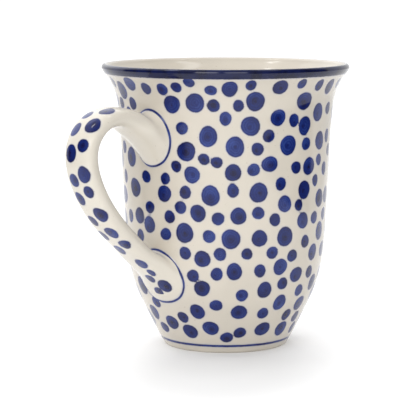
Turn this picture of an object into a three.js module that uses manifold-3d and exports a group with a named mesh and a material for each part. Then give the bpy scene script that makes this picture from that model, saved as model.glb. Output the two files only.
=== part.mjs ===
// A tall, flared stoneware mug with a strap handle.
// Four pieces of clay: the cup, the handle, and the two layers of slip that join them.
// Millimetres, +Z up. The mug stands on z = 0, and its handle points along -X.

import * as THREE from 'three';
import { ParametricGeometry } from 'three/addons/geometries/ParametricGeometry.js';
import { mergeVertices } from 'three/addons/utils/BufferGeometryUtils.js';
import Module from 'manifold-3d';

// Cup: every profile point is [radius, height] from the cup's own axis.
const HEIGHT = 114; // table to the crest of the lip
const RIM_RADIUS = 50; // widest point of the flare, just below the crest
const FOOT_RADIUS = 25.3; // outer edge of the foot ring
const FOOT_INNER_RADIUS = 20.8; // inner edge of the face that the mug stands on
const FOOT_EDGE = 0.6; // rounding of the foot ring's two edges
const FOOT_RECESS = 1.8; // how far the turned base is above the table
const FLOOR_HEIGHT = 9.5; // table to the bottom of the inside
const OUTER_WALL = [
  [FOOT_RADIUS, FOOT_EDGE], [28.6, 7], [32.6, 15], [36.1, 22.5], [38.6, 31], [40.1, 41], [40.9, 53],
  [41.6, 66], [42.2, 79], [43, 91], [44.3, 101.5], [47, 108], [49.5, 111.2], [RIM_RADIUS, 112.6],
];
const LIP = [
  [RIM_RADIUS, 112.6], [49.6, 113.6], [48.8, HEIGHT], [47.9, 113.7], [47, 112.6],
];
const INNER_WALL = [
  [47, 112.6], [43, 107.8], [39.9, 101.5], [38.4, 91], [37.6, 79], [37, 66], [36.3, 53],
  [35.2, 41], [32.8, 31], [28.4, 22], [22, 15], [13, 11], [0, FLOOR_HEIGHT],
];

// Handle: its centreline is [distance from the cup's axis, height], and runs into the wall at both ends.
const HANDLE_REACH = 83; // cup's axis to the outermost point of the handle
const STRAP_WIDTH = 14.5;
const STRAP_THICKNESS = 7.8;
const STRAP_SQUARENESS = 2.4; // 2 gives an elliptical section, and more gives a boxier one
const CENTRELINE = [
  [35, 87.2], [42.6, 87.8], [50, 90.8], [56.5, 93.7], [63.5, 95.1], [70.3, 94], [76, 90],
  [79, 84], [78.9, 78], [76.9, 71.8], [72.9, 64], [66.6, 56.2], [58, 48.4], [48.5, 40.4], [38.5, 32], [28, 23.3],
];
// Each end spreads over a length that starts where the centreline leaves the wall, an inset from its end.
const UPPER_END = { width: 20, thickness: 23, inset: 7.5, length: 24, power: 2.6 };
const LOWER_END = { width: 23, thickness: 13.5, inset: 14, length: 20, power: 2 };

// Joints: the slip is a thin layer between the wall and the handle, clear of both.
const SLIP_THICKNESS = 0.6;
const CLEARANCE = 0.3;

const CUP_SEGMENTS = 48;
const HANDLE_SIDES = 24;
const HANDLE_STEPS = 44;
const STEPS_PER_SPAN = 2; // facets between two profile points

const cupAxisX = (HANDLE_REACH - RIM_RADIUS) / 2; // centres the mug's length on the origin

const wasm = await Module();
wasm.setup();

const glaze = (color) => new THREE.MeshStandardMaterial({ color, roughness: 0.18, metalness: 0 });

const creamGlaze = glaze('#d8d3c6');
const slipGlaze = glaze('#d2ccbd');

// A smooth curve through profile points.
function smooth(points) {
  const curve = new THREE.SplineCurve(points.map(([r, z]) => new THREE.Vector2(r, z)));
  return curve.getPoints((points.length - 1) * STEPS_PER_SPAN);
}

// A closed solid turned about the cup's axis. The lathe turns about Y, so it is stood up along Z.
function turned(profile) {
  const lathe = new THREE.LatheGeometry(profile, CUP_SEGMENTS);
  return lathe.rotateX(Math.PI / 2).translate(cupAxisX, 0, 0);
}

function toSolid(geometry) {
  const bare = geometry.clone();
  bare.deleteAttribute('normal');
  bare.deleteAttribute('uv');
  const merged = mergeVertices(bare);
  return new wasm.Manifold(new wasm.Mesh({
    numProp: 3,
    vertProperties: merged.attributes.position.array,
    triVerts: new Uint32Array(merged.index.array),
  }));
}

function toGeometry(solid) {
  const mesh = solid.getMesh();
  const geometry = new THREE.BufferGeometry();
  geometry.setAttribute('position', new THREE.BufferAttribute(mesh.vertProperties, mesh.numProp));
  geometry.setIndex(new THREE.BufferAttribute(mesh.triVerts, 1));
  return geometry;
}

// The cup: one wall from the turned foot ring, over the lip and down to the floor inside.
function cupBody() {
  const foot = [
    [0, FOOT_RECESS],
    [FOOT_INNER_RADIUS - FOOT_RECESS, FOOT_RECESS],
    [FOOT_INNER_RADIUS - FOOT_EDGE, FOOT_EDGE],
    [FOOT_INNER_RADIUS, 0],
    [FOOT_RADIUS - FOOT_EDGE, 0],
  ].map(([r, z]) => new THREE.Vector2(r, z));
  const outer = smooth(OUTER_WALL);
  const lip = smooth(LIP).slice(1, -1);
  const inner = smooth(INNER_WALL);
  return turned([...foot, ...outer, ...lip, ...inner]);
}

// The space inside the outer wall, swollen by the given amount. It trims whatever meets the wall.
function wallEnvelope(swell) {
  const outer = smooth(OUTER_WALL);
  const swollen = outer.map((point, i) => {
    const before = outer[Math.max(i - 1, 0)];
    const after = outer[Math.min(i + 1, outer.length - 1)];
    const along = after.clone().sub(before).normalize();
    return point.clone().add(new THREE.Vector2(along.y, -along.x).multiplyScalar(swell));
  });
  const top = swollen[swollen.length - 1];
  return toSolid(turned([new THREE.Vector2(0, 0), ...swollen, new THREE.Vector2(0, top.y)]));
}

// How far an end of the handle has spread, from 1 at the wall to 0 where the strap begins.
function spread(end, distance) {
  const beyondWall = Math.max(0, distance - end.inset);
  return Math.max(0, 1 - beyondWall / end.length) ** end.power;
}

// The whole handle as one loft of rounded sections, running on into the wall at both ends.
function handleLoft() {
  const centreline = new THREE.CatmullRomCurve3(
    CENTRELINE.map(([r, z]) => new THREE.Vector3(cupAxisX - r, 0, z)), false, 'centripetal',
  );
  const length = centreline.getLength();
  const across = new THREE.Vector3(0, 1, 0);
  const rounded = (value) => Math.sign(value) * Math.abs(value) ** (2 / STRAP_SQUARENESS);

  // The first and last rows shrink to a point, which closes the loft's ends.
  return new ParametricGeometry((u, v, target) => {
    const row = Math.round(v * (HANDLE_STEPS + 2));
    const along = THREE.MathUtils.clamp((row - 1) / HANDLE_STEPS, 0, 1);
    const capped = row === 0 || row === HANDLE_STEPS + 2;
    const upper = spread(UPPER_END, along * length);
    const lower = spread(LOWER_END, (1 - along) * length);
    const width = STRAP_WIDTH
      + (UPPER_END.width - STRAP_WIDTH) * upper
      + (LOWER_END.width - STRAP_WIDTH) * lower;
    const thickness = STRAP_THICKNESS
      + (UPPER_END.thickness - STRAP_THICKNESS) * upper
      + (LOWER_END.thickness - STRAP_THICKNESS) * lower;
    const normal = new THREE.Vector3().crossVectors(across, centreline.getTangentAt(along));
    const angle = -u * Math.PI * 2;
    target.copy(centreline.getPointAt(along));
    if (!capped) {
      target.addScaledVector(across, rounded(Math.cos(angle)) * width / 2);
      target.addScaledVector(normal, rounded(Math.sin(angle)) * thickness / 2);
    }
  }, HANDLE_SIDES, HANDLE_STEPS + 2);
}

function named(name, geometry, material) {
  const mesh = new THREE.Mesh(geometry, material);
  mesh.name = name;
  return mesh;
}

const loft = toSolid(handleLoft());
const slipInside = wallEnvelope(CLEARANCE);
const slipOutside = wallEnvelope(CLEARANCE + SLIP_THICKNESS);
const handleInside = wallEnvelope(CLEARANCE + SLIP_THICKNESS + CLEARANCE);
const slipLayers = loft.intersect(slipOutside).subtract(slipInside).decompose();
const height = (solid) => solid.boundingBox().max[2];
const [upperSlip, lowerSlip] = slipLayers.sort((a, b) => height(b) - height(a));

const mug = new THREE.Group();
mug.add(named('cup_body', cupBody(), creamGlaze));
mug.add(named('handle', toGeometry(loft.subtract(handleInside)), creamGlaze));
mug.add(named('upper_slip_joint', toGeometry(upperSlip), slipGlaze));
mug.add(named('lower_slip_joint', toGeometry(lowerSlip), slipGlaze));

export default mug;
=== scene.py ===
import math
import random
from functools import partial

import bpy
import numpy as np
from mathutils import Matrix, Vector


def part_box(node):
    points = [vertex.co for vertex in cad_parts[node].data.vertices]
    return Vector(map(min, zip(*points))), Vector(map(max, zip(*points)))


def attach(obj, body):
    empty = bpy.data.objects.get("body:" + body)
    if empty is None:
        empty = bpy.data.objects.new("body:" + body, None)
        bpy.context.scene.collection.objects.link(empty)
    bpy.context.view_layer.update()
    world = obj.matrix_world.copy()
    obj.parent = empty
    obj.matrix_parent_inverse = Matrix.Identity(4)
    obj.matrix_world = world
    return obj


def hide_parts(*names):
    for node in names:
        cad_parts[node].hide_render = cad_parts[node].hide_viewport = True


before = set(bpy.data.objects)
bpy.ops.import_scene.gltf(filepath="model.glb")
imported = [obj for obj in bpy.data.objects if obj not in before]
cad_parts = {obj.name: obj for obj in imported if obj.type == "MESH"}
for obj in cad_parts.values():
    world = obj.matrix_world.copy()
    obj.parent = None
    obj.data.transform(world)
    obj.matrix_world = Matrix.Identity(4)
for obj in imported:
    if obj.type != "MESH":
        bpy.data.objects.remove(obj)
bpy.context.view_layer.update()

MM = 0.001

# --- The cup -------------------------------------------------------------------------------------
# One wall of cream stoneware, turned to a flared lip above a narrow foot ring.
# Cobalt is painted on the dry clay, the whole cup is dipped in clear glaze,
# and the face of the foot ring is wiped bare so that it doesn't stick to the kiln shelf.

cup_low, cup_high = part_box("cup_body")
cup_x = (cup_low.x + cup_high.x) / 2
lip_top = (cup_high.z - cup_low.z) / MM
lip_radius = (cup_high.x - cup_low.x) / 2 / MM

# Each line is (radius, height) in millimetres, from the cup's axis and the table.
foot_line = [
    (0, 1.8), (17, 1.8), (19.3, 1.5), (20.4, 0.5), (21, 0.05), (22, 0), (24, 0), (24.8, 0.1), (25.4, 0.8),
]
wall_line = [
    (25.4, 0.8), (26.6, 3), (28.7, 7), (32.6, 15), (36.1, 22.5), (38.6, 31), (40.1, 41), (40.9, 53),
    (41.6, 66), (42.2, 79), (42.95, 91), (44.3, 101.5), (46.9, 107.8), (49.3, 111), (lip_radius, 112.5),
]
lip_line = [(lip_radius, 112.5), (49.65, 113.5), (48.8, lip_top), (47.8, 113.6), (46.9, 112.4)]
inside_line = [
    (46.9, 112.4), (43.2, 107.8), (40, 101.5), (38.4, 91), (37.6, 79), (37, 66), (36.3, 53),
    (35.2, 41), (32.8, 31), (28.4, 22), (22, 15), (13, 11), (0, 9.8),
]


def drawn_line(points, steps):
    """A smooth line of edges through the points, beside the cup's axis and never below the table."""
    bpy.ops.curve.primitive_bezier_curve_add()
    line = bpy.context.object
    spline = line.data.splines[0]
    spline.bezier_points.add(len(points) - 2)
    for knot, (radius, height) in zip(spline.bezier_points, points):
        knot.co = (radius * MM, 0, height * MM)
        knot.handle_left_type = knot.handle_right_type = "AUTO"
    spline.resolution_u = steps
    line.data.resolution_u = steps
    bpy.ops.object.convert(target="MESH")
    line = bpy.context.object
    for corner in line.data.vertices:
        corner.co.z = max(corner.co.z, 0)
    return line


bpy.ops.object.select_all(action="DESELECT")
wall_profile = drawn_line(wall_line, 12)
wall_knots = sorted((v.co.z / MM, v.co.x / MM) for v in wall_profile.data.vertices)
wall_heights, wall_radii = (np.array(column) for column in zip(*wall_knots))
profiles = [wall_profile, drawn_line(foot_line, 3), drawn_line(lip_line, 5), drawn_line(inside_line, 6)]
for profile in profiles:
    profile.select_set(True)
bpy.context.view_layer.objects.active = wall_profile
bpy.ops.object.join()
cup = bpy.context.object
cup.name = cup.data.name = "glazed_cup"

bpy.ops.object.mode_set(mode="EDIT")
bpy.ops.mesh.select_all(action="SELECT")
bpy.ops.mesh.remove_doubles(threshold=0.01 * MM)
bpy.ops.mesh.spin(steps=340, angle=2 * math.pi, center=(0, 0, 0), axis=(0, 0, 1))
bpy.ops.mesh.select_all(action="SELECT")
bpy.ops.mesh.remove_doubles(threshold=0.01 * MM)
bpy.ops.mesh.normals_make_consistent(inside=False)
bpy.ops.transform.translate(value=(cup_x, 0, 0))
bpy.ops.object.mode_set(mode="OBJECT")
bpy.ops.object.shade_smooth()

# The potter's dots: (turn from the handle in degrees, height in millimetres), by size of sponge.
TINY, SMALL, MIDDLE, BROAD, LARGE = 4.6, 5.1, 6.6, 7.2, 7.7
seen_dots = {
    TINY: [
        (26, 109), (55, 108), (82, 108), (19, 107), (36, 106), (49.5, 100), (-18.5, 95.8), (104, 77),
        (16, 76), (31.6, 79.2), (38.4, 78), (9, 71), (101, 69), (87, 60), (55, 42),
    ],
    SMALL: [
        (118, 107), (95, 107), (11, 106), (1, 106), (37, 100), (-13, 99.5), (-27, 99), (112, 97),
        (43, 95), (81, 93.6), (20, 91), (66, 88), (114, 86), (91, 84), (60, 83), (119, 80), (84, 75),
        (58, 75), (112, 73), (-5, 71), (74, 69), (47, 67), (21, 66), (18, 60), (-3, 59), (61, 58),
        (39, 56), (11, 56), (71, 55), (115.5, 54.5), (102, 54), (-24, 54), (8, 49), (34, 49), (-13, 47),
        (94, 45), (40, 42), (20, 42), (70, 42), (84, 40), (63, 35), (38, 34), (24, 33), (102, 32),
        (79, 29), (-10, 29), (53, 25.2), (95, 25), (37, 21), (-9, 20), (69, 17), (91, 15), (12, 15),
        (105, 13), (54, 9), (-12, 9), (110, 8), (44, 7),
    ],
    MIDDLE: [
        (-10, 107.5), (70, 107), (45, 106.6), (106, 106), (71, 95), (67, 77), (47, 74), (25, 73),
        (8, 65), (118, 62), (77, 61), (28, 58), (50, 57), (-13, 55), (91, 53.6), (-4, 52), (62, 48),
        (30, 40), (118, 40), (103, 40), (76, 36), (48, 35), (89, 32), (29, 28), (110, 27), (67, 27),
        (80, 21), (101, 19), (52, 18), (24, 18), (-18, 15), (0, 12), (32, 11), (72, 10), (91, 9),
        (15, 9),
    ],
    BROAD: [
        (15, 100.2), (100, 96), (89, 91.2), (104, 84.6), (94.3, 75), (91, 65.8), (107.4, 61.4),
        (110, 48),
    ],
    LARGE: [
        (-21, 104.5), (58, 101.6), (87, 101), (27.6, 101), (56, 92), (34, 88), (78, 84), (48, 84),
        (22, 82), (-19, 78), (-16, 66), (61, 66), (35, 65), (20, 50), (46, 48), (78, 48), (-20, 26),
    ],
}


def wall_point(turn, height):
    """A point on the outside of the wall, its direction to the right and its direction up."""
    angle = math.radians(turn)
    radius = np.interp(height, wall_heights, wall_radii)
    rise = np.interp(height + 1, wall_heights, wall_radii) - np.interp(height - 1, wall_heights, wall_radii)
    out = Vector((-math.cos(angle), -math.sin(angle), 0))
    right = Vector((math.sin(angle), -math.cos(angle), 0))
    up = Vector((out.x * rise / 2, out.y * rise / 2, 1)).normalized()
    centre = Vector((cup_x, 0, 0)) + out * radius * MM + Vector((0, 0, height * MM))
    return centre, right, up


dice = random.Random(7)
# Each dot is (place, direction to its right, direction up, size, how narrow it is).
wall_dots = [
    (*wall_point(turn, height), size, 1)
    for size, places in seen_dots.items()
    for turn, height in places
]

# (height, half width, half height, how much wider below) of the two pads' outlines.
pads = {"upper": (86.5, 9.6, 11.1, 0.06), "lower": (31.6, 11.8, 10.7, 0.12)}

# The far side is sponged the same way, the large dots first and the small ones between them.
far_turns, far_heights = (121, 332), (7, 107.5)
DOT_GAP, PAD_GAP = 1.5, 4  # least space between two dots, and between a dot and a pad
HANDLE_SIDE = 270  # beyond this turn the wall faces the handle again, so a dot can meet a pad
for size, tries in ((LARGE, 900), (MIDDLE, 900), (SMALL, 2600)):
    for attempt in range(tries):
        turn, height = dice.uniform(*far_turns), dice.uniform(*far_heights)
        place, right, up = wall_point(turn, height)
        near_pad = any(
            math.hypot((place.y / MM) / (wide + PAD_GAP), (height - middle) / (tall + PAD_GAP)) < 1
            for middle, wide, tall, egg in pads.values()
        )
        crowded = any(
            (place - other).length / MM < (size + other_size) / 2 + DOT_GAP
            for other, _, _, other_size, _ in wall_dots
        )
        if not crowded and not (near_pad and turn > HANDLE_SIDE):
            wall_dots.append((place, right, up, size, 1))


def points_of(piece):
    """Every point of the piece's mesh, as rows of x, y and z."""
    spots = np.empty(len(piece.data.vertices) * 3, np.float32)
    piece.data.vertices.foreach_get("co", spots)
    return spots.reshape(-1, 3)


BARE = -9.0  # millimetres so far outside a painted edge that no cobalt shows


def sponge(piece, dots):
    """Measures every point of the piece against the dots, and returns what the cobalt needs."""
    spots = points_of(piece)
    count = len(spots)
    fields = {
        "edge": np.full(count, BARE),  # millimetres inside the dot's edge
        "reach": np.full(count, 2.0),  # 0 at the dot's middle and 1 at its edge
        "tone": np.zeros(count),  # how much cobalt the sponge left
        "blot": np.full(count, 9.0),  # distance from the drop that gathers under the sponge
    }
    for place, right, up, size, narrow in dots:
        lobe, twist, lean = (dice.uniform(0, 2 * math.pi) for _ in range(3))
        tone, drop = dice.uniform(0.2, 0.56), dice.uniform(0.3, 1.2)
        drop_x, drop_y = dice.gauss(-0.04, 0.12), dice.gauss(-0.08, 0.12)
        stretch = dice.uniform(0.94, 1.04)
        away = (spots - np.array(place)) / MM
        near = np.flatnonzero((np.abs(away) < size).all(axis=1))
        x, y = away[near] @ np.array(right), away[near] @ np.array(up)
        depth = (away[near] ** 2).sum(axis=1) - x ** 2 - y ** 2
        x, y = x / (stretch * narrow), y * stretch
        angle = np.arctan2(y, x)
        rim = size / 2 * (1 + 0.03 * np.sin(2 * angle + lobe) + 0.02 * np.sin(3 * angle + twist))
        far = np.sqrt(np.maximum(x ** 2 + y ** 2 + depth, 0))
        inside = rim - far
        wins = inside > fields["edge"][near]
        hit = near[wins]
        fields["edge"][hit] = inside[wins]
        fields["reach"][hit] = (far / rim)[wins]
        fields["tone"][hit] = (tone + 0.16 * (x * math.cos(lean) + y * math.sin(lean)) / rim)[wins]
        fields["blot"][hit] = (np.hypot(x / rim - drop_x, y / rim - drop_y) / drop)[wins]
    return fields


STROKE = 0.42  # half the width, in millimetres, of the thin brush strokes round the pads


def pad_stroke(spots):
    """How far each point is from the nearer pad's edge, and the half width of the brush stroke there."""
    x, y, z = ((spots[:, k] - (cup_x, 0, 0)[k]) / MM for k in range(3))
    across = np.arctan2(-y, -x) * np.interp(z, wall_heights, wall_radii)
    gap = np.full(len(spots), 99.0)
    ink = np.zeros(len(spots))
    for middle, wide, tall, egg in pads.values():
        rise = z - middle
        ring = np.hypot(across / (wide * (1 - egg * rise / tall)), rise / tall)
        away = (ring - 1) * np.hypot(across, rise) / np.maximum(ring, 0.01)
        # The brush lifts towards one side of each pad, and more so low down.
        pressure = np.clip((across + 6.5) / 4.5 + np.clip(rise / tall + 0.4, 0, 1), 0.25, 1)
        nearer = np.abs(away) < np.abs(gap)
        gap = np.where(nearer, away, gap)
        ink = np.where(nearer, STROKE * pressure, ink)
    return {"gap": gap, "ink": ink}


def store(piece, fields):
    """Keeps each field on the piece's points, for its material to read."""
    for name, values in fields.items():
        layer = piece.data.attributes.new(name, "FLOAT", "POINT")
        layer.data.foreach_set("value", np.asarray(values, np.float32))


cup_spots = points_of(cup)
from_axis = np.hypot(cup_spots[:, 0] - cup_x, cup_spots[:, 1]) / MM
heights = cup_spots[:, 2] / MM
outside = from_axis > np.interp(heights, wall_heights, wall_radii) - 2
cup_fields = sponge(cup, wall_dots) | pad_stroke(cup_spots)
cup_fields["edge"] = np.where(outside, cup_fields["edge"], BARE)
cup_fields["ink"] = np.where(outside, cup_fields["ink"], BARE)

# The lip band starts at one height on the outside, and ends at one radius inside the lip.
band_height, band_radius, lip_zone = 110.3, 48.6, 105
band_depth = np.minimum(heights - band_height, from_axis - band_radius)
cup_fields["band"] = np.where(heights > lip_zone, band_depth, BARE)
store(cup, cup_fields)

# --- Cobalt under clear glaze --------------------------------------------------------------------
# The glaze is clear and glossy over cream clay. Cobalt lies under it: each dot is darkest where the
# sponge sat and at its rim, with faint rings from the turn of the sponge, and it bleeds a little.


def arithmetic(tree, operation, first, second=None):
    """A Math node on one or two numbers or sockets."""
    node = tree.nodes.new("ShaderNodeMath")
    node.operation = operation
    for socket, value in zip(node.inputs, (first, second)):
        if isinstance(value, (int, float)):
            socket.default_value = value
        elif value is not None:
            tree.links.new(value, socket)
    return node.outputs[0]


def smooth_range(tree, value, low, high, out_low=0.0, out_high=1.0):
    """A number that goes smoothly from out_low to out_high while the value goes from low to high."""
    node = tree.nodes.new("ShaderNodeMapRange")
    node.interpolation_type = "SMOOTHSTEP"
    node.inputs["From Min"].default_value = low
    node.inputs["From Max"].default_value = high
    node.inputs["To Min"].default_value = out_low
    node.inputs["To Max"].default_value = out_high
    tree.links.new(value, node.inputs["Value"])
    return node.outputs["Result"]


def painted_glaze(name, clay):
    """Clear glaze over clay of one colour, with cobalt wherever the piece's stored fields put it."""
    material = bpy.data.materials.new(name)
    material.use_nodes = True
    nodes, links = material.node_tree.nodes, material.node_tree.links
    shader = nodes["Principled BSDF"]
    math_node = partial(arithmetic, material.node_tree)
    ramp = partial(smooth_range, material.node_tree)

    def field(attribute):
        node = nodes.new("ShaderNodeAttribute")
        node.attribute_name = attribute
        return node.outputs["Fac"]

    def noise(size, detail=2.0, roughness=0.5):
        """Noise whose lumps are about size millimetres across."""
        node = nodes.new("ShaderNodeTexNoise")
        node.inputs["Scale"].default_value = 1 / (size * MM)
        node.inputs["Detail"].default_value = detail
        node.inputs["Roughness"].default_value = roughness
        links.new(place, node.inputs["Vector"])
        return node.outputs["Fac"]

    def mixed(amount, first, second):
        node = nodes.new("ShaderNodeMix")
        node.data_type = "RGBA"
        links.new(amount, node.inputs["Factor"])
        for socket, value in ((node.inputs["A"], first), (node.inputs["B"], second)):
            if isinstance(value, tuple):
                socket.default_value = (*value, 1)
            else:
                links.new(value, socket)
        return node.outputs["Result"]

    place = nodes.new("ShaderNodeTexCoord").outputs["Object"]
    height = nodes.new("ShaderNodeSeparateXYZ")
    links.new(place, height.inputs[0])

    def stroke(distance, half_width):
        """How far inside a thin stroke a point is, from its distance to the middle of the stroke."""
        return math_node("SUBTRACT", half_width, math_node("ABSOLUTE", distance))

    # Where the cobalt is: the stored distances, wobbled by the open edge of the sponge and the brush.
    wobble = math_node("MULTIPLY", math_node("SUBTRACT", noise(1.3), 0.5), 0.34)
    sway = math_node("MULTIPLY", math_node("SUBTRACT", noise(5.0), 0.5), 0.3)
    edge = math_node("ADD", field("edge"), wobble)
    pad_line = stroke(math_node("ADD", field("gap"), sway), field("ink"))
    foot_height, foot_half_width = 3.1, 0.5
    above_foot = math_node("SUBTRACT", math_node("MULTIPLY", height.outputs["Z"], 1 / MM), foot_height)
    foot_stroke = stroke(math_node("ADD", above_foot, sway), foot_half_width)
    line = math_node("MAXIMUM", pad_line, foot_stroke)
    line = math_node("ADD", line, math_node("MULTIPLY", wobble, 0.3))
    band = math_node("ADD", field("band"), math_node("MULTIPLY", wobble, 0.8))
    dot_mask = ramp(edge, -0.24, 0.22)
    line_mask = ramp(line, -0.16, 0.16)
    band_mask = ramp(band, -0.15, 0.15)
    bleed = ramp(math_node("MAXIMUM", math_node("MAXIMUM", edge, line), band), -0.8, 0.1, 0.0, 0.3)

    # How strong the cobalt is: rings, rim, drop, grain and clouds.
    reach = field("reach")
    turned = math_node("ADD", reach, math_node("MULTIPLY", noise(2.2), 0.35))
    rings = math_node("MULTIPLY", math_node("SINE", math_node("MULTIPLY", turned, 25)), 0.1)
    rim = ramp(reach, 0.78, 1.0, 0.0, 0.2)
    drop_wobble = math_node("MULTIPLY", math_node("SUBTRACT", noise(1.6), 0.5), 0.3)
    drop_edge = math_node("ADD", field("blot"), drop_wobble)
    drop = ramp(drop_edge, 0.08, 0.65, 0.48, 0.0)
    grain = math_node("MULTIPLY", math_node("SUBTRACT", noise(0.7, 3), 0.5), 0.3)
    clouds = math_node("MULTIPLY", math_node("SUBTRACT", noise(3.2), 0.5), 0.55)
    strength = math_node("ADD", field("tone"), 0.06)
    for part in (rings, rim, drop, grain, clouds):
        strength = math_node("ADD", strength, part)
    cobalt = nodes.new("ShaderNodeValToRGB")
    stops = cobalt.color_ramp.elements
    stops[0].position, stops[0].color = 0.0, (0.024, 0.049, 0.22, 1)
    stops[1].position, stops[1].color = 1.0, (0.0055, 0.005, 0.04, 1)
    middle = stops.new(0.42)
    middle.color = (0.007, 0.018, 0.13, 1)
    links.new(strength, cobalt.inputs["Fac"])
    streaks = ramp(noise(5.0, 3), 0.35, 0.7)
    thin_blue = mixed(streaks, (0.022, 0.04, 0.18), (0.009, 0.014, 0.095))
    band_blue = mixed(streaks, (0.005, 0.009, 0.055), (0.002, 0.003, 0.022))

    # The clay under it: cream, a little cloudy, with a few tiny specks.
    cloudy = mixed(ramp(noise(14.0, 3), 0.3, 0.7), tuple(0.96 * c for c in clay), clay)
    specks = ramp(noise(1.1, 1), 0.745, 0.79, 0.0, 0.35)
    cream = mixed(specks, cloudy, (0.3, 0.24, 0.17))
    cream = mixed(bleed, cream, (0.3, 0.34, 0.55))
    colour = mixed(dot_mask, cream, cobalt.outputs["Color"])
    colour = mixed(line_mask, colour, thin_blue)
    colour = mixed(band_mask, colour, band_blue)
    links.new(colour, shader.inputs["Base Color"])

    # The glaze: glossy, with the soft waviness of a dipped coat.
    links.new(ramp(noise(6.0), 0.3, 0.7, 0.07, 0.12), shader.inputs["Roughness"])
    shader.inputs["IOR"].default_value = 1.43
    bump = nodes.new("ShaderNodeBump")
    bump.inputs["Strength"].default_value = 0.12
    bump.inputs["Distance"].default_value = 0.3 * MM
    links.new(noise(7.0, 1), bump.inputs["Height"])
    links.new(bump.outputs["Normal"], shader.inputs["Normal"])
    return material


cream_clay = (0.61, 0.562, 0.485)
cup_glaze = painted_glaze("cobalt_glaze", cream_clay)
cup.data.materials.append(cup_glaze)

# The face that the mug stands on: bare, matt, warm clay.
bare_clay = bpy.data.materials.new("bare_clay")
bare_clay.use_nodes = True
clay_nodes, clay_links = bare_clay.node_tree.nodes, bare_clay.node_tree.links
clay_shader = clay_nodes["Principled BSDF"]
clay_grain = clay_nodes.new("ShaderNodeTexNoise")
clay_grain.inputs["Scale"].default_value = 1 / (0.6 * MM)
clay_grain.inputs["Detail"].default_value = 4
clay_colour = clay_nodes.new("ShaderNodeValToRGB")
clay_colour.color_ramp.elements[0].color = (0.40, 0.33, 0.25, 1)
clay_colour.color_ramp.elements[1].color = (0.62, 0.55, 0.45, 1)
clay_place = clay_nodes.new("ShaderNodeTexCoord")
clay_links.new(clay_place.outputs["Object"], clay_grain.inputs["Vector"])
clay_links.new(clay_grain.outputs["Fac"], clay_colour.inputs["Fac"])
clay_links.new(clay_colour.outputs["Color"], clay_shader.inputs["Base Color"])
clay_shader.inputs["Roughness"].default_value = 0.85
clay_bump = clay_nodes.new("ShaderNodeBump")
clay_bump.inputs["Strength"].default_value = 0.4
clay_bump.inputs["Distance"].default_value = 0.1 * MM
clay_links.new(clay_grain.outputs["Fac"], clay_bump.inputs["Height"])
clay_links.new(clay_bump.outputs["Normal"], clay_shader.inputs["Normal"])
cup.data.materials.append(bare_clay)
wiped_from, wiped_to, wiped_height = 20.8, 24.8, 0.06
for face in cup.data.polygons:
    ring = math.hypot(face.center.x - cup_x, face.center.y) / MM
    if face.center.z < wiped_height * MM and wiped_from < ring < wiped_to:
        face.material_index = 1

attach(cup, "root")
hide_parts("cup_body")

# --- The handle ----------------------------------------------------------------------------------
# A strap of the same clay, pulled to a rounded section and bent while soft. Both ends are spread
# into a pad and pressed on to the scored wall. Dots run down its outer face in two staggered rows.
# Its clay is set a little paler than the cup's: painted light, for the extra light that the handle and its
# slip joints catch.

strap_wide, strap_thick = 14.6, 7.8
# (distance from the cup's axis, height, width, thickness), from the upper pad round to the lower one.
strap = [
    (53.5, 92.8, 15.2, 9.6), (58.2, 95.2, 14.8, 8),
    (63.8, 96.3, strap_wide, 7.5), (70.4, 95.2, strap_wide, 7.5),
    (76.3, 91, strap_wide, strap_thick), (79.6, 84.8, strap_wide, strap_thick),
    (79.3, 77.8, strap_wide, strap_thick), (77, 71.3, strap_wide, strap_thick),
    (73.1, 64.2, strap_wide, strap_thick), (67, 56.5, strap_wide, strap_thick),
    (60.3, 50.2, strap_wide, 7.4), (53.8, 44.6, 14.8, 7), (48.8, 40.2, 15.6, 7.2),
]
# (lift off the wall, height, width, tallness) of the spread ends, as they are pressed to the wall.
upper_end = [
    (-1.0, 86.5, 18.4, 21.4), (0.2, 86.5, 18.2, 21.2), (0.9, 86.6, 17.7, 20.2), (2.2, 87.1, 17, 18.2),
    (4.4, 88.3, 16.2, 15.2), (7.2, 90.2, 15.6, 12.2),
]
lower_end = [
    (4.8, 36.9, 17, 11.6), (2.4, 34.1, 19.4, 15), (0.9, 32.3, 21.6, 18.6), (0.2, 31.7, 22.6, 20.2),
    (-1.0, 31.6, 22.8, 20.6),
]

SIDES = 16
full = 6 / (4 + 2 * math.cos(2 * math.pi / SIDES))  # what subdivision takes off a ring of this many sides


def clay_ring(width, tallness, squareness):
    """A flat ring, as wide along Y and as tall along X as asked once it has been subdivided."""
    bpy.ops.mesh.primitive_circle_add(vertices=SIDES, radius=1)
    ring = bpy.context.object
    for corner in ring.data.vertices:
        for axis, reach in ((0, tallness), (1, width)):
            value = corner.co[axis]
            corner.co[axis] = math.copysign(abs(value) ** (2 / squareness), value) * reach / 2 * full * MM
    return ring


def strap_ring(index):
    """A section of the strap, standing square across its run."""
    before, after = strap[max(index - 1, 0)], strap[min(index + 1, len(strap) - 1)]
    ring = clay_ring(strap[index][2], strap[index][3], 2.7)
    run = (before[0] - after[0], after[1] - before[1])
    ring.rotation_euler.y = math.atan2(run[0], run[1])
    ring.location = (cup_x - strap[index][0] * MM, 0, strap[index][1] * MM)
    return ring


def pressed_ring(lift, height, width, tallness):
    """A ring that follows the round of the wall, at one distance from it."""
    ring = clay_ring(width, tallness, 2.05)
    for corner in ring.data.vertices:
        rise, across = corner.co.x / MM, corner.co.y / MM
        radius = np.interp(height + rise, wall_heights, wall_radii)
        turn = across / radius
        reach = (radius + lift) * MM
        corner.co = (cup_x - reach * math.cos(turn), reach * math.sin(turn), (height + rise) * MM)
    return ring


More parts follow.
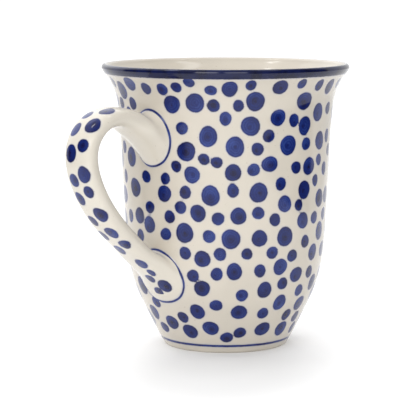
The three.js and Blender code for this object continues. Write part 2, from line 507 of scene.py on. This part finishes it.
def lofted(name, rings, closed=False):
    """Rings of clay bridged one to the next, its ends filled, and smoothed into one skin."""
    bpy.ops.object.select_all(action="DESELECT")
    for ring in rings:
        ring.select_set(True)
    bpy.context.view_layer.objects.active = rings[0]
    bpy.ops.object.transform_apply(location=True, rotation=True, scale=True)
    bpy.ops.object.join()
    piece = bpy.context.object
    piece.name = piece.data.name = name
    count = len(rings)
    pairs = [(k, k + 1) for k in range(count - 1)] + ([(count - 1, 0)] if closed else [])
    for pair in pairs:
        bpy.ops.object.mode_set(mode="EDIT")
        bpy.ops.mesh.select_all(action="DESELECT")
        bpy.ops.mesh.select_mode(type="EDGE")
        bpy.ops.object.mode_set(mode="OBJECT")
        for edge in piece.data.edges:
            owners = {vertex // SIDES for vertex in edge.vertices}
            edge.select = len(owners) == 1 and owners.pop() in pair
        bpy.ops.object.mode_set(mode="EDIT")
        bpy.ops.mesh.bridge_edge_loops()
    if not closed:
        bpy.ops.mesh.select_all(action="SELECT")
        bpy.ops.mesh.fill_holes(sides=0)
    bpy.ops.mesh.select_all(action="SELECT")
    bpy.ops.mesh.normals_make_consistent(inside=False)
    bpy.ops.object.mode_set(mode="OBJECT")
    smooth = piece.modifiers.new("smooth", "SUBSURF")
    smooth.levels = smooth.render_levels = 3
    bpy.ops.object.modifier_apply(modifier="smooth")
    bpy.ops.object.shade_smooth()
    return piece


handle_rings = [pressed_ring(*ring) for ring in upper_end]
handle_rings += [strap_ring(index) for index in range(len(strap))]
handle_rings += [pressed_ring(*ring) for ring in lower_end]
handle = lofted("strap_handle", handle_rings)

# Dots on the handle: (distance along the strap from its first section, distance across, size).
strap_dots = [
    (16, -3.4, 6.4), (18.8, 3.2, 5.4), (24.3, -4.3, 7.1), (25.3, 3.2, 5.8), (31.8, -3.8, 5.5),
    (33.3, 2.1, 6.9), (40.2, -4, 6.6), (42.9, 2, 5.8), (46.9, -3.9, 5.3), (50.4, 2.4, 6), (57.2, -4.1, 7),
    (60.8, 2.1, 5.4), (66.7, -3.2, 6.5), (69.3, 3, 5.4), (74.2, -4.5, 5.7), (78.3, 1.2, 5.9),
    (87.4, -3.5, 6), (94, -4.2, 4.2), (98.6, -0.6, 5), (102.8, -5.6, 6.8), (106.2, -0.4, 5.2),
]

# The line that those distances run along: the strap's sections, and on into the wall.
line_points = [(reach, height) for reach, height, _, _ in strap] + [(42, 33.5), (36, 25.5)]
middle_line = [Vector((cup_x - reach * MM, 0, height * MM)) for reach, height in line_points]


def strap_dot(distance, across, size):
    """A dot on the handle's outer face, a little narrow, because the clay curves away from the sponge."""
    left = distance * MM
    for start, end in zip(middle_line, middle_line[1:]):
        step = (end - start).length
        if left < step:
            break
        left -= step
    along = (end - start).normalized()
    outwards = Vector((along.z, 0, -along.x))
    guess = start + along * left + outwards * 4 * MM + Vector((0, across * MM, 0))
    return handle.closest_point_on_mesh(guess)[1], Vector((0, 1, 0)), along, size, 0.88


handle_spots = points_of(handle)
handle_fields = sponge(handle, [strap_dot(*dot) for dot in strap_dots]) | pad_stroke(handle_spots)
handle_fields["ink"] = np.full(len(handle_spots), BARE)
handle_fields["band"] = np.full(len(handle_spots), BARE)
store(handle, handle_fields)
# Paler clay than the cup's: painted light on the handle, its spread ends and the slip joints.
handle_glaze = painted_glaze("handle_glaze", (0.69, 0.645, 0.562))
handle.data.materials.append(handle_glaze)
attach(handle, "root")
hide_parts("handle")

# --- The slip joints -----------------------------------------------------------------------------
# Slip of the same clay glues each pad to the wall. What squeezes out is wiped into a soft hollow
# fillet all round, and a fine brush stroke of cobalt follows its edge.


def slip_joint(name, node, middle, wide, tall, egg, lean):
    """A ring of slip from inside the pad, over its foot and down on to the wall."""
    rings = [
        pressed_ring(1.9, middle + lean, 2 * wide - 4.4, 2 * tall - 5.4),
        pressed_ring(0.75, middle + lean * 0.3, 2 * wide - 1.9, 2 * tall - 2.2),
        pressed_ring(0.12, middle, 2 * wide - 0.2, 2 * tall - 0.2),
        pressed_ring(-0.15, middle, 2 * wide + 1, 2 * tall + 1),
        pressed_ring(-1.0, middle, 2 * wide - 2, 2 * tall - 2),
        pressed_ring(0.4, middle, 2 * wide - 7, 2 * tall - 8),
    ]
    joint = lofted(name, rings, closed=True)
    spots = points_of(joint)
    no_band = np.full(len(spots), BARE)
    store(joint, sponge(joint, []) | pad_stroke(spots) | {"band": no_band})
    # The slip takes the handle's paler clay, painted light as on the handle.
    joint.data.materials.append(handle_glaze)
    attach(joint, "root")
    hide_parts(node)


slip_joint("upper_slip_fillet", "upper_slip_joint", *pads["upper"], 0.3)
slip_joint("lower_slip_fillet", "lower_slip_joint", *pads["lower"], 0.8)

# --- The studio ----------------------------------------------------------------------------------
# A strip of white paper under the mug, a pale room that is white behind it and darker at both sides,
# two broad lights in front, two boxes overhead, and a long lens a little above the mug. The paper
# glows a little away from the mug, painted light that shapes the mug's shadow on it, and reflections
# see the front of the room dimmed.

VIEW_TURN = math.radians(-47)  # the camera's direction from the mug, turned from the -Y axis
to_camera = Vector((math.sin(VIEW_TURN), -math.cos(VIEW_TURN), 0))
to_right = Vector((math.cos(VIEW_TURN), math.sin(VIEW_TURN), 0))

bpy.ops.mesh.primitive_plane_add(size=1, location=(cup_x, 0, cup_low.z), rotation=(0, 0, VIEW_TURN))
floor = bpy.context.object
floor.name = "floor"
paper_width, paper_length, paper_shift = 0.62, 4.8, 0.9  # the strip reaches further behind the mug
floor.scale = (paper_width, paper_length, 1)
floor.location -= to_camera * paper_shift
paper = bpy.data.materials.new("white_paper")
paper.use_nodes = True
paper_nodes, paper_links = paper.node_tree.nodes, paper.node_tree.links
paper_shader = paper_nodes["Principled BSDF"]
paper_shader.inputs["Base Color"].default_value = (0.84, 0.84, 0.84, 1)
paper_shader.inputs["Roughness"].default_value = 0.9
paper_shader.inputs["Specular IOR Level"].default_value = 0.1

# Painted light: the paper glows from the edge of a long oval, whose middle is in front of the mug and
# a little left, so the mug's shadow shows only inside that oval.
oval_left, oval_ahead, oval_squash = 0.003, 0.06, 0.6
paper_place = paper_nodes.new("ShaderNodeTexCoord")
paper_spot = paper_nodes.new("ShaderNodeVectorMath")
paper_spot.operation = "MULTIPLY_ADD"
paper_spot.inputs[1].default_value = (paper_width, paper_length * oval_squash, 0)
paper_spot.inputs[2].default_value = (oval_left, (paper_shift + oval_ahead) * oval_squash, 0)
paper_reach = paper_nodes.new("ShaderNodeVectorMath")
paper_reach.operation = "LENGTH"
paper_links.new(paper_place.outputs["Object"], paper_spot.inputs[0])
paper_links.new(paper_spot.outputs["Vector"], paper_reach.inputs[0])
painted_paper_light = smooth_range(paper.node_tree, paper_reach.outputs["Value"], 0.018, 0.06, 0.0, 0.22)
paper_links.new(painted_paper_light, paper_shader.inputs["Emission Strength"])
floor.data.materials.append(paper)

scene = bpy.context.scene
scene.view_settings.view_transform = "Standard"
room = bpy.data.worlds.new("pale_room")
room.use_nodes = True
scene.world = room
room_nodes, room_links = room.node_tree.nodes, room.node_tree.links
look = room_nodes.new("ShaderNodeTexCoord").outputs["Generated"]


def room_part(direction, low, high, strength_low, strength_high):
    """A part of the room whose brightness goes from one value to another along a direction."""
    facing = room_nodes.new("ShaderNodeVectorMath")
    facing.operation = "DOT_PRODUCT"
    facing.inputs[1].default_value = direction
    room_links.new(look, facing.inputs[0])
    return smooth_range(room.node_tree, facing.outputs["Value"], low, high, strength_low, strength_high)


room_math = partial(arithmetic, room.node_tree)
backdrop = room_part(to_camera, -0.34, -0.3, 1.0, 0.0)
front = room_part(to_camera * 0.81 - to_right * 0.13 + Vector((0, 0, 0.57)), 0.58, 0.85, 0.22, 1.3)
ceiling = room_part((0, 0, 1), 0.35, 0.85, 0.0, 0.18)
back_light = room_part(Vector((0, 0, 0.8)) - to_camera * 0.47 - to_right * 0.37, 0.6, 0.9, 0.0, 0.9)

# Reflections see a quarter of the front and the ceiling, and the camera sees plain white.
path = room_nodes.new("ShaderNodeLightPath")
unmirrored = room_math("SUBTRACT", 1, room_math("MULTIPLY", path.outputs["Is Glossy Ray"], 0.75))
front = room_math("MULTIPLY", room_math("ADD", front, ceiling), unmirrored)
brightness = room_math("ADD", room_math("MAXIMUM", backdrop, front), back_light)
brightness = room_math("MAXIMUM", brightness, room_math("MULTIPLY", path.outputs["Is Camera Ray"], 1.1))
room_links.new(brightness, room_nodes["Background"].inputs["Strength"])
room_nodes["Background"].inputs["Color"].default_value = (1, 1, 1, 1)


def soft_box(name, turn, rise, distance, width, height, power):
    """An area light aimed at the mug. Its turn is counted from the camera's direction, to the right."""
    data = bpy.data.lights.new(name, "AREA")
    data.shape = "RECTANGLE"
    data.size, data.size_y, data.energy = width, height, power
    light = bpy.data.objects.new(name, data)
    scene.collection.objects.link(light)
    angle = VIEW_TURN + math.radians(turn)
    tilt = math.radians(rise)
    aim = Vector((cup_x, 0, 0.06))
    away = Vector((math.sin(angle) * math.cos(tilt), -math.cos(angle) * math.cos(tilt), math.sin(tilt)))
    light.location = aim + away * distance
    light.rotation_euler = away.to_track_quat("Z", "Y").to_euler()


soft_box("key_light", -18, 27, 2.4, 0.8, 0.8, 7.9)
soft_box("fill_light", 10, 25, 2.4, 0.8, 0.8, 5.4)
soft_box("left_overhead_box", -86, 62, 1.0, 0.08, 0.16, 0.45)
soft_box("right_overhead_box", 80, 68, 1.0, 0.12, 0.25, 0.35)

camera = bpy.data.objects.new("camera", bpy.data.cameras.new("camera"))
scene.collection.objects.link(camera)
scene.camera = camera
camera.data.lens = 168
camera.data.shift_x = -0.042
camera_height, camera_distance, camera_tilt = 0.1546, 0.7847, 0.1262
camera.location = Vector((cup_x, 0, camera_height)) + to_camera * camera_distance
camera.rotation_euler = (math.pi / 2 - camera_tilt, 0, VIEW_TURN)
